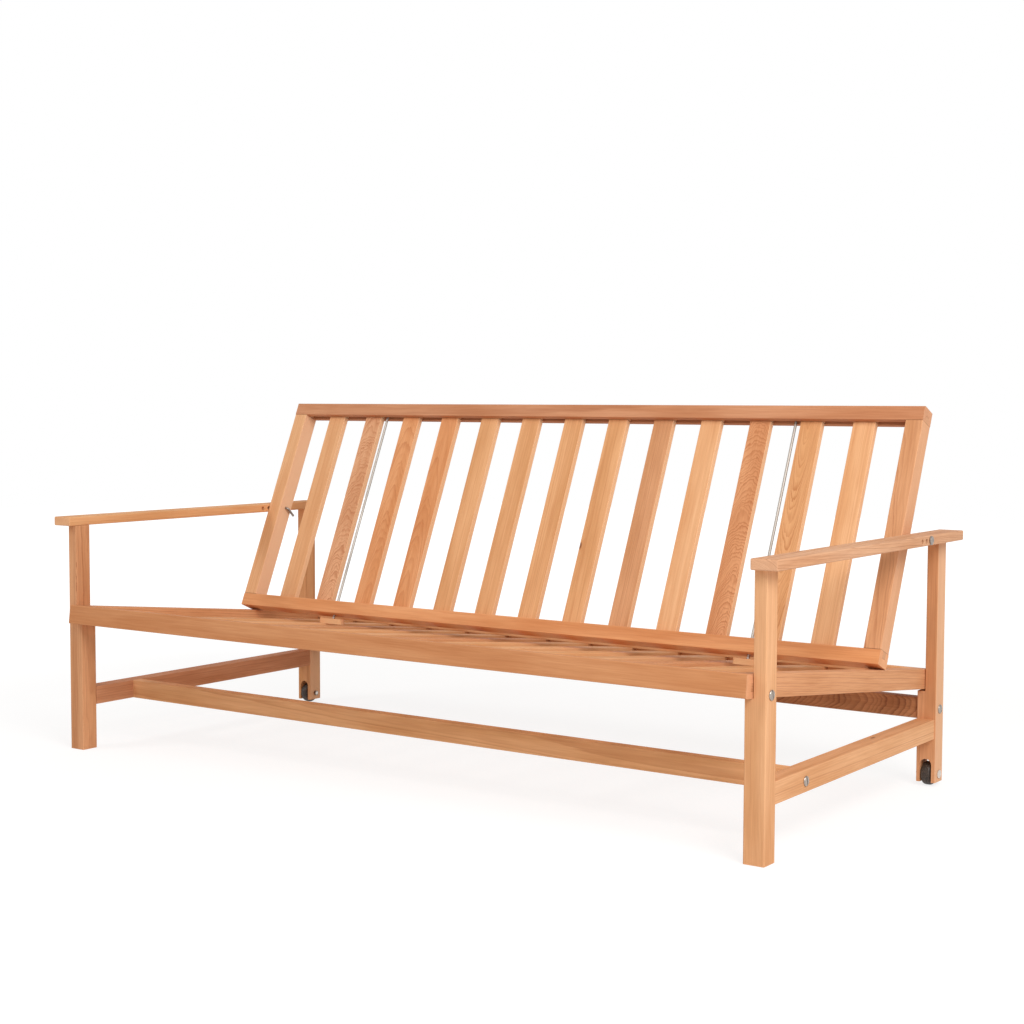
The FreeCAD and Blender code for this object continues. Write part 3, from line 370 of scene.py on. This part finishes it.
def oilBoard(node, number, plan):
    turn, tone, cut = boards[node]
    cut = dict(zip(cutNames, boardCuts[cut]))
    chance = random.Random(number)
    angles = Euler([math.radians(angle) for angle in boardTurns[turn]])
    unturned = angles.to_matrix().inverted()
    spots = [unturned @ vertex.co for vertex in nodes[node].data.vertices]
    low = Vector([min(spot[axis] for spot in spots) for axis in range(3)])
    high = Vector([max(spot[axis] for spot in spots) for axis in range(3)])
    middle = angles.to_matrix() @ ((low + high) / 2)
    pith = Vector(cut["pith"]) * chance.uniform(*plan["pithChance"])
    if chance.random() < 0.5:
        pith.y = -pith.y
    tilt = [math.radians(angle) * chance.uniform(*plan["tiltChance"]) for angle in cut["tilt"]]
    ringWidth = cut["ring"] * chance.uniform(*plan["ringChance"])
    spring, summer, stain = (toLinear(shade) for shade in woodTones[tone])
    # tone and share of the painted side light and shade
    paintedSideTone, paintedSideShare = next((side for kind, side in sideLightAndShade.items() if kind in node), plan["plainSide"])
    material, tree = newMaterial("oiled softwood " + node)
    space = addNode(tree, "ShaderNodeTexCoord").outputs["Object"]
    toBoard = {"Vector": space, "Location": middle, "Rotation": angles, "Scale": (0.001, 0.001, 0.001)}
    place = addNode(tree, "ShaderNodeMapping", toBoard, vector_type="TEXTURE")
    wood = addNode(tree, "ShaderNodeGroup", node_tree=grain)
    tree.links.new(place.outputs["Vector"], wood.inputs["Place"])
    values = {
        "Half Size": (high - low) * 500, "Pith": pith, "Pith Tilt": tilt, "Ring Width": ringWidth,
        "Ring Contrast": cut["contrast"], "Ring Luck": cut["luck"], "Wobble": cut["wobble"],
        "Sway Stretch": cut["sway"], "Seed": number * plan["seedStep"], "Knot": knots.get(node, (0, 0, 0)),
        "Spring Wood": spring, "Summer Wood": summer, "Oil Stain": stain,
        "Bare End And Painted Side": toLinear(paintedSideTone), "Painted Side Share": paintedSideShare,
        "Shoulder": plan["tongue" if turn in ("backSlat", "seatSlat") else "noTongue"],
    }
    for name, value in values.items():
        wood.inputs[name].default_value = value
    bump = addNode(tree, "ShaderNodeBump", {
        "Height": wood.outputs["Height"], "Strength": plan["bump"], "Distance": plan["bumpHeight"]})
    surface = addNode(tree, "ShaderNodeBsdfPrincipled", {
        "Base Color": wood.outputs["Colour"], "Roughness": wood.outputs["Roughness"], "Normal": bump,
        "IOR": plan["refraction"], "Specular IOR Level": plan["shine"]})
    addNode(tree, "ShaderNodeOutputMaterial", {"Surface": surface})
    dress(node, material)


for number, node in enumerate(sorted(boards)):
    oilBoard(node, number, boardPlan)
print("boards oiled,", len(boards))


def takeMesh(name, shape):
    mesh = bpy.data.meshes.new(name)
    shape.to_mesh(mesh)
    shape.free()
    return mesh


# turns a profile of places along x and radii round the x axis
def turnSolid(name, profile, steps, loop=False):
    shape = bmesh.new()
    rings = []
    for along, radius in profile:
        count = steps if radius else 1
        angles = [2 * math.pi * step / steps for step in range(count)]
        rings.append([shape.verts.new((along, radius * math.cos(a), radius * math.sin(a))) for a in angles])
    for near, far in zip(rings, rings[1:] + (rings[:1] if loop else [])):
        for step in range(steps):
            after = (step + 1) % steps
            corners = [near[step % len(near)], near[after % len(near)], far[after % len(far)], far[step % len(far)]]
            shape.faces.new(list(dict.fromkeys(corners)))
    bmesh.ops.recalc_face_normals(shape, faces=shape.faces)
    return takeMesh(name, shape)


def smoothShade(mesh, degrees):
    mesh.polygons.foreach_set("use_smooth", [True] * len(mesh.polygons))
    mesh.set_sharp_from_angle(angle=math.radians(degrees))


# zinc-plated steel, turned or drawn: bright, with fine tool marks that spread the highlights
steelPlan = {
    "head": ("#C0B5AB", "#978C83"), "nut": ("#B4A9A0", "#6E655E"),  # bright and dull; the warm cast of all these steel tones is painted reflection of the wood around them
    "axle": ("#E0D6CC", "#C4B9AF"), "rod": ("#BEB6AE", "#9A9289"),
    "edge": "#FFFFFF", "rodDarkReflection": "#4A433D",  # tint at a low angle; the rod's dark tint is painted reflection of darker surroundings on its sides
    "polish": (0.18, 0.36), "rodPolish": (0.45, 0.58),  # roughness
    "marks": 0.7, "drawn": 80, "cloud": 6.0, "rodCloud": 120.0,  # mm; real tool marks are 0.1 mm
    "bump": 0.3, "bumpHeight": 0.0001,  # height in metres
}


def platedSteel(name, kind, axis=None, lean=None):
    material, tree = newMaterial(name)
    bright, dull = steelPlan[kind]
    cloudSize = steelPlan["rodCloud" if lean else "cloud"]
    smooth, dim = steelPlan["rodPolish" if lean else "polish"]
    # a rod takes the dark tint, a painted reflection on its sides
    edge = steelPlan["rodDarkReflection" if lean else "edge"]
    space = addNode(tree, "ShaderNodeTexCoord").outputs["Object"]
    fine = 1000 / steelPlan["marks"]
    if lean:  # drawn along a rod
        drawn = {"Vector": space, "Rotation": (-math.radians(lean), 0, 0),
                 "Scale": (1 / fine, 1 / fine, steelPlan["drawn"] / 1000)}
        along = addNode(tree, "ShaderNodeMapping", drawn, vector_type="TEXTURE")
        marks = addNode(tree, noiseNode, {"Vector": along, "Scale": 1.0, "Detail": 2.0})
    else:
        if axis:  # tool marks run round the axis
            flat = addNode(tree, vectorNode, {0: space, 1: (0, 1, 1)}, operation="MULTIPLY")
            away = addNode(tree, vectorNode, {0: flat, 1: (0, *axis)}, operation="DISTANCE")
        else:
            away = addNode(tree, "ShaderNodeAttribute", attribute_name="turning").outputs["Fac"]
        marks = addNode(tree, noiseNode, {"W": away, "Scale": fine, "Detail": 2.0}, noise_dimensions="1D")
    cloud = addNode(tree, noiseNode, {"Vector": space, "Scale": 1000 / cloudSize, "Detail": 3.0})
    tint = addNode(tree, "ShaderNodeMix", {0: cloud, 6: toLinear(bright), 7: toLinear(dull)}, data_type="RGBA")
    rough = addNode(tree, mapNode, {"Value": cloud, 3: smooth, 4: dim})
    bump = addNode(tree, "ShaderNodeBump", {
        "Height": marks, "Strength": steelPlan["bump"], "Distance": steelPlan["bumpHeight"]})
    surface = addNode(tree, "ShaderNodeBsdfPrincipled", {
        "Base Color": tint, "Roughness": rough, "Metallic": 1.0, "Normal": bump, "Specular Tint": toLinear(edge)})
    addNode(tree, "ShaderNodeOutputMaterial", {"Surface": surface})
    return material


def axisOf(node):
    low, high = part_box(node)
    return ((low.y + high.y) / 2, (low.z + high.z) / 2)


pivotAxis = axisOf("pivot_sleeve_nuts")
wheelAxis = axisOf("wheel_axles")
boltSteel = platedSteel("turned plated steel", "head")
axleSteel = platedSteel("polished plated steel", "axle")
pivotSteel = platedSteel("turned plated steel pivots", "nut", axis=pivotAxis)
nutSteel = platedSteel("turned plated steel nuts", "nut", axis=wheelAxis)
rodSteel = platedSteel("drawn plated steel", "rod", lean=backLean)
for node in ("pivot_sleeve_nuts", "left_pivot_bolt", "right_pivot_bolt"):
    dress(node, pivotSteel)
for node in ("left_tie_rod", "right_tie_rod"):
    dress(node, rodSteel)
for node in ("axle_nuts", "threaded_inserts"):
    dress(node, nutSteel)
print("steel finished")

# slotted bolts and plain axles: one turned head set on each row of seats
boltPlan = {
    "name": "frame_bolt_set", "stands": "frame_bolts",
    "head": [(0.0035, 0), (0.0035, 0.006), (0.0033, 0.0078), (0.0028, 0.0093), (0.0019, 0.0102), (0.0009, 0.0105),
             (0, 0.0104), (0, 0)],
    "slot": (0.0015, 0.0024, 0.02),  # depth, width and half the length of the blade
    "seats": [(0.969, -0.424, 0.3248, 0.058), (0.966, -0.2635, 0.1325, 0.072),
              (0.969, 0.427, 0.177, 0.075)],  # place on the right side, and length
    "shank": 0.004, "steps": 48, "sharp": 35,
    "turn": 20, "seed": 4,  # turn is how far a slot may lean, degrees
}
axlePlan = {
    "name": "wheel_axle_set", "stands": "wheel_axles",
    "head": [(0.0035, 0), (0.0034, 0.007), (0.0032, 0.0086), (0.0026, 0.0096), (0.0014, 0.01), (0.0006, 0.01),
             (0, 0.0098), (0, 0)],
    "slot": None,
    "seats": [(0.969, 0.427, 0.027, 0.051)],
    "shank": 0.004, "steps": 48, "sharp": 35,
    "turn": 180, "seed": 9,
}


def turnHead(plan):
    head = addObject("turned_head", turnSolid("turned_head", plan["head"], plan["steps"]))
    if plan["slot"]:
        deep, wide, reach = plan["slot"]
        top = plan["head"][0][0]
        shape = bmesh.new()
        bmesh.ops.create_cube(shape, size=1.0)
        blade = takeMesh("slot_blade", shape)
        blade.transform(Matrix.Translation((top, 0, 0)) @ Matrix.Diagonal((2 * deep, wide, 2 * reach, 1)))
        cutter = addObject("slot_blade", blade)
        saw = head.modifiers.new("saw", "BOOLEAN")
        saw.operation, saw.object, saw.solver = "DIFFERENCE", cutter, "EXACT"
        sawn = bpy.data.meshes.new_from_object(head.evaluated_get(bpy.context.evaluated_depsgraph_get()))
        head.modifiers.clear()
        head.data = sawn
        bpy.data.objects.remove(cutter)
    return head


# geometry nodes: a head and a shank on every seat, turned by chance and flipped on the left side
pinInputs = {
    "Seats": "NodeSocketGeometry", "Head": "NodeSocketObject", "Shank Radius": "NodeSocketFloat",
    "Slot Turn": "NodeSocketFloat", "Seed": "NodeSocketInt", "Finish": "NodeSocketMaterial",
}
shankSides = 24


def buildPinTree():
    tree = bpy.data.node_groups.new("pins on seats", "GeometryNodeTree")
    sockets = {}
    for name, kind in pinInputs.items():
        sockets[name] = tree.interface.new_socket(name, in_out="INPUT", socket_type=kind).identifier
    tree.interface.new_socket("Pins", in_out="OUTPUT", socket_type="NodeSocketGeometry")
    given = addNode(tree, "NodeGroupInput").outputs
    side, reach = (addNode(tree, "GeometryNodeInputNamedAttribute", {"Name": name}, data_type="FLOAT")
                   for name in ("flip", "reach"))
    least = addNode(tree, mathNode, {0: given["Slot Turn"], 1: -1.0}, operation="MULTIPLY")
    spin = addNode(tree, "FunctionNodeRandomValue", data_type="FLOAT")
    low, high = [socket for socket in spin.inputs if socket.enabled and socket.name in ("Min", "Max")]
    tree.links.new(least.outputs[0], low)
    tree.links.new(given["Slot Turn"], high)
    tree.links.new(given["Seed"], spin.inputs["Seed"])
    turn = addNode(tree, joinNode, {0: spin, 2: side})
    head = addNode(tree, "GeometryNodeObjectInfo", {"Object": given["Head"]}).outputs["Geometry"]
    heads = addNode(tree, "GeometryNodeInstanceOnPoints", {
        "Points": given["Seats"], "Instance": head, "Rotation": turn})
    rod = addNode(tree, "GeometryNodeMeshCylinder", {
        "Vertices": shankSides, "Radius": given["Shank Radius"], "Depth": 1.0})
    laid = addNode(tree, "GeometryNodeTransform", {
        "Geometry": rod.outputs["Mesh"], "Translation": (-0.5, 0, 0), "Rotation": (0, math.pi / 2, 0)})
    size = addNode(tree, joinNode, {0: reach, 1: 1.0, 2: 1.0})
    shanks = addNode(tree, "GeometryNodeInstanceOnPoints", {
        "Points": given["Seats"], "Instance": laid, "Rotation": turn, "Scale": size})
    joined = addNode(tree, "GeometryNodeJoinGeometry", {"Geometry": heads})
    tree.links.new(shanks.outputs[0], joined.inputs[0])
    real = addNode(tree, "GeometryNodeRealizeInstances", {"Geometry": joined})
    done = addNode(tree, "GeometryNodeSetMaterial", {"Geometry": real, "Material": given["Finish"]})
    addNode(tree, "NodeGroupOutput", {"Pins": done})
    return tree, sockets


def setPins(plan, tree, sockets, finish):
    spots = [(side * x, y, z) for x, y, z, _ in plan["seats"] for side in (1, -1)]
    points = bpy.data.meshes.new(plan["name"])
    points.from_pydata(spots, [], [])
    flips = points.attributes.new("flip", "FLOAT", "POINT")
    reaches = points.attributes.new("reach", "FLOAT", "POINT")
    for place, spot in enumerate(spots):
        flips.data[place].value = 0 if spot[0] > 0 else math.pi
        reaches.data[place].value = plan["seats"][place // 2][3]
    seats = addObject(plan["name"] + "_seats", points)
    head = turnHead(plan)
    maker = seats.modifiers.new("pins", "NODES")
    maker.node_group = tree
    values = {"Head": head, "Shank Radius": plan["shank"], "Slot Turn": math.radians(plan["turn"]),
              "Seed": plan["seed"], "Finish": finish}
    for name, value in values.items():
        maker[sockets[name]] = value
    depsgraph = bpy.context.evaluated_depsgraph_get()
    made = seats.evaluated_get(depsgraph)
    mesh = bpy.data.meshes.new_from_object(made, preserve_all_data_layers=True, depsgraph=depsgraph)
    seats.modifiers.clear()
    bpy.data.objects.remove(seats)
    bpy.data.objects.remove(head)
    mesh.name = plan["name"]
    turning = mesh.attributes.new("turning", "FLOAT", "POINT")
    for vertex, value in zip(mesh.vertices, turning.data):  # distance from its own axis, for the tool marks
        value.value = min(math.dist(vertex.co[1:], spot[1:]) for spot in spots)
    smoothShade(mesh, plan["sharp"])
    pins = addObject(plan["name"], mesh)
    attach(pins, "frame")
    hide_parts(plan["stands"])


pinTree, pinSockets = buildPinTree()
setPins(boltPlan, pinTree, pinSockets, boltSteel)
setPins(axlePlan, pinTree, pinSockets, axleSteel)
print("bolts and axles set")

# black moulded plastic, satin at the sides and dusty where it rolls
wheelPlan = {
    "half": 0.01225, "radius": 0.027, "shoulder": 0.008, "shoulderSteps": 8,
    "hub": 0.009, "rim": 0.0172, "dish": 0.002, "bore": 0.00405,
    "hubBevel": (0.0006, 0.0008), "hubFoot": 0.0006, "rimFoot": 0.0012, "rimBevel": 0.0007,
    "seam": 0.00015, "seamHalf": (0.0005, 0.0003),  # moulding seam: height, half width at its foot and crest
    "steps": 80, "sharp": 40,
    "plastic": "#100C0A", "dust": "#4A3D34", "scuff": "#64564C",
    "grit": 2.2, "cloud": 5.0,  # mm
    "rolls": (0.0225, 0.0262), "scuffSpan": (0.52, 0.66), "satin": (0.35, 0.65, 0.3, 0.6),
    "bump": 0.8, "bumpHeight": 0.0004, "refraction": 1.5, "shine": 0.35,
}


def mouldedPlastic(plan, axis):
    material, tree = newMaterial("moulded black plastic")
    plastic, dusty, scuffed = (toLinear(plan[name]) for name in ("plastic", "dust", "scuff"))
    space = addNode(tree, "ShaderNodeTexCoord").outputs["Object"]
    flat = addNode(tree, vectorNode, {0: space, 1: (0, 1, 1)}, operation="MULTIPLY")
    away = addNode(tree, vectorNode, {0: flat, 1: (0, *axis)}, operation="DISTANCE")
    rolling = addNode(tree, mapNode, {"Value": away, **limits(plan["rolls"])}, interpolation_type="SMOOTHSTEP")
    cloud = addNode(tree, noiseNode, {"Vector": space, "Scale": 1000 / plan["cloud"], "Detail": 4.0})
    dust = addNode(tree, mathNode, {0: rolling, 1: cloud}, operation="MULTIPLY")
    tint = addNode(tree, "ShaderNodeMix", {0: dust, 6: plastic, 7: dusty}, data_type="RGBA")
    grit = addNode(tree, noiseNode, {"Vector": space, "Scale": 1000 / plan["grit"], "Detail": 2.0})
    scuff = addNode(tree, mapNode, {"Value": grit, **limits(plan["scuffSpan"])})
    worn = addNode(tree, mathNode, {0: scuff, 1: rolling}, operation="MULTIPLY")
    tint = addNode(tree, "ShaderNodeMix", {0: worn, 6: tint, 7: scuffed}, data_type="RGBA")
    rough = addNode(tree, mapNode, {"Value": grit, **limits(plan["satin"])})
    bump = addNode(tree, "ShaderNodeBump", {
        "Height": grit, "Strength": plan["bump"], "Distance": plan["bumpHeight"]})
    surface = addNode(tree, "ShaderNodeBsdfPrincipled", {
        "Base Color": tint, "Roughness": rough, "Normal": bump,
        "IOR": plan["refraction"], "Specular IOR Level": plan["shine"]})
    addNode(tree, "ShaderNodeOutputMaterial", {"Surface": surface})
    return material


def mouldWheel(side, plan, material):
    half, radius, shoulder = plan["half"], plan["radius"] - plan["seam"], plan["shoulder"]
    hub, rim, floor = plan["hub"], plan["rim"], plan["half"] - plan["dish"]
    bevelDepth, bevelWidth = plan["hubBevel"]
    seamFoot, seamCrest = plan["seamHalf"]
    rimBevel, steps = plan["rimBevel"], plan["shoulderSteps"]
    flank = [(half, plan["bore"]), (half, hub - bevelWidth), (half - bevelDepth, hub), (floor, hub + plan["hubFoot"]),
             (floor, rim - plan["rimFoot"]), (half - rimBevel, rim), (half, rim + rimBevel)]
    for step in range(steps + 1):  # rounded shoulder up to the tread
        angle = math.radians(90 * step / steps)
        flank.append((half - shoulder * (1 - math.cos(angle)), radius - shoulder * (1 - math.sin(angle))))
    flank += [(seamFoot, radius), (seamCrest, plan["radius"])]
    profile = flank + [(-along, away) for along, away in reversed(flank)]
    mesh = turnSolid(side + "_wheel_tyre", profile, plan["steps"], loop=True)
    smoothShade(mesh, plan["sharp"])
    low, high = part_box(side + "_wheel")
    mesh.transform(Matrix.Translation((low + high) / 2))
    mesh.materials.append(material)
    wheel = addObject(side + "_wheel_tyre", mesh)
    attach(wheel, side + "_wheel")
    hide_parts(side + "_wheel")


wheelPlastic = mouldedPlastic(wheelPlan, wheelAxis)
for side in ("left", "right"):
    mouldWheel(side, wheelPlan, wheelPlastic)
print("wheels moulded")

# pale floor and white studio: a broad soft lamp at the right leaves the left end a little darker, a weak one helps it
studio = {
    "floorReach": 9.0, "floorDrop": 0.0005, "floorColour": "#F0EDEA", "floorGlow": 1.15,
    "glowSpan": (1.7, 3.4, 0.7, 1.0),  # metres from the middle and share of glow: white far off, so no horizon shows
    "lamps": {  # place, watts, size
        "broadLamp": ((3.6, -2.0, 3.1), 130, 2.6), "weakLamp": ((-3.0, -3.4, 3.8), 44, 1.2),
    },
    "aim": (0.2, 0, 0.45), "skyFill": 0.52, "white": (1, 1, 1, 1),
}


# 1 for what the camera sees directly, in a reflection or through glass
def seenRays(tree):
    path = addNode(tree, "ShaderNodeLightPath").outputs
    seen = addNode(tree, mathNode, {0: path["Is Camera Ray"], 1: path["Is Glossy Ray"]}, operation="MAXIMUM")
    return addNode(tree, mathNode, {0: seen, 1: path["Is Transmission Ray"]}, operation="MAXIMUM")


def layFloor(plan):
    reach, level = plan["floorReach"], -plan["floorDrop"]
    corners = [(-reach, -reach, level), (reach, -reach, level), (reach, reach, level), (-reach, reach, level)]
    mesh = bpy.data.meshes.new("floor")
    mesh.from_pydata(corners, [], [(0, 1, 2, 3)])
    floor = addObject("floor", mesh)
    material, tree = newMaterial("pale floor")
    seen = seenRays(tree)
    space = addNode(tree, "ShaderNodeTexCoord").outputs["Object"]
    away = addNode(tree, vectorNode, {0: space}, operation="LENGTH")
    sweep = addNode(tree, mapNode, {"Value": away, **limits(plan["glowSpan"])}, interpolation_type="SMOOTHSTEP")
    share = addNode(tree, mathNode, {0: seen, 1: sweep}, operation="MULTIPLY")
    matt = addNode(tree, "ShaderNodeBsdfDiffuse", {"Color": toLinear(plan["floorColour"])})
    glow = addNode(tree, "ShaderNodeEmission", {"Color": plan["white"], "Strength": plan["floorGlow"]})
    mixed = addNode(tree, "ShaderNodeMixShader", {0: share, 1: matt, 2: glow})
    addNode(tree, "ShaderNodeOutputMaterial", {"Surface": mixed})
    mesh.materials.append(material)


def hangLamp(name, place, watts, size):
    light = bpy.data.lights.new(name, "AREA")
    light.shape = "DISK"
    light.energy = watts
    light.size = size
    lamp = addObject(name, light)
    lamp.location = place
    lamp.rotation_euler = (Vector(studio["aim"]) - Vector(place)).to_track_quat("-Z", "Y").to_euler()
    lamp.visible_camera = False


def paintSky(plan):
    world = bpy.data.worlds.new("studio")
    world.use_nodes = True
    tree = world.node_tree
    tree.nodes.clear()
    lift = addNode(tree, mapNode, {"Value": seenRays(tree), 3: plan["skyFill"], 4: 1.0})
    sky = addNode(tree, "ShaderNodeBackground", {"Color": plan["white"], "Strength": lift})
    addNode(tree, "ShaderNodeOutputWorld", {"Surface": sky})
    scene.world = world


layFloor(studio)
for name, lamp in studio["lamps"].items():
    hangLamp(name, *lamp)
paintSky(studio)
scene.view_settings.view_transform = "Standard"
print("studio lit")
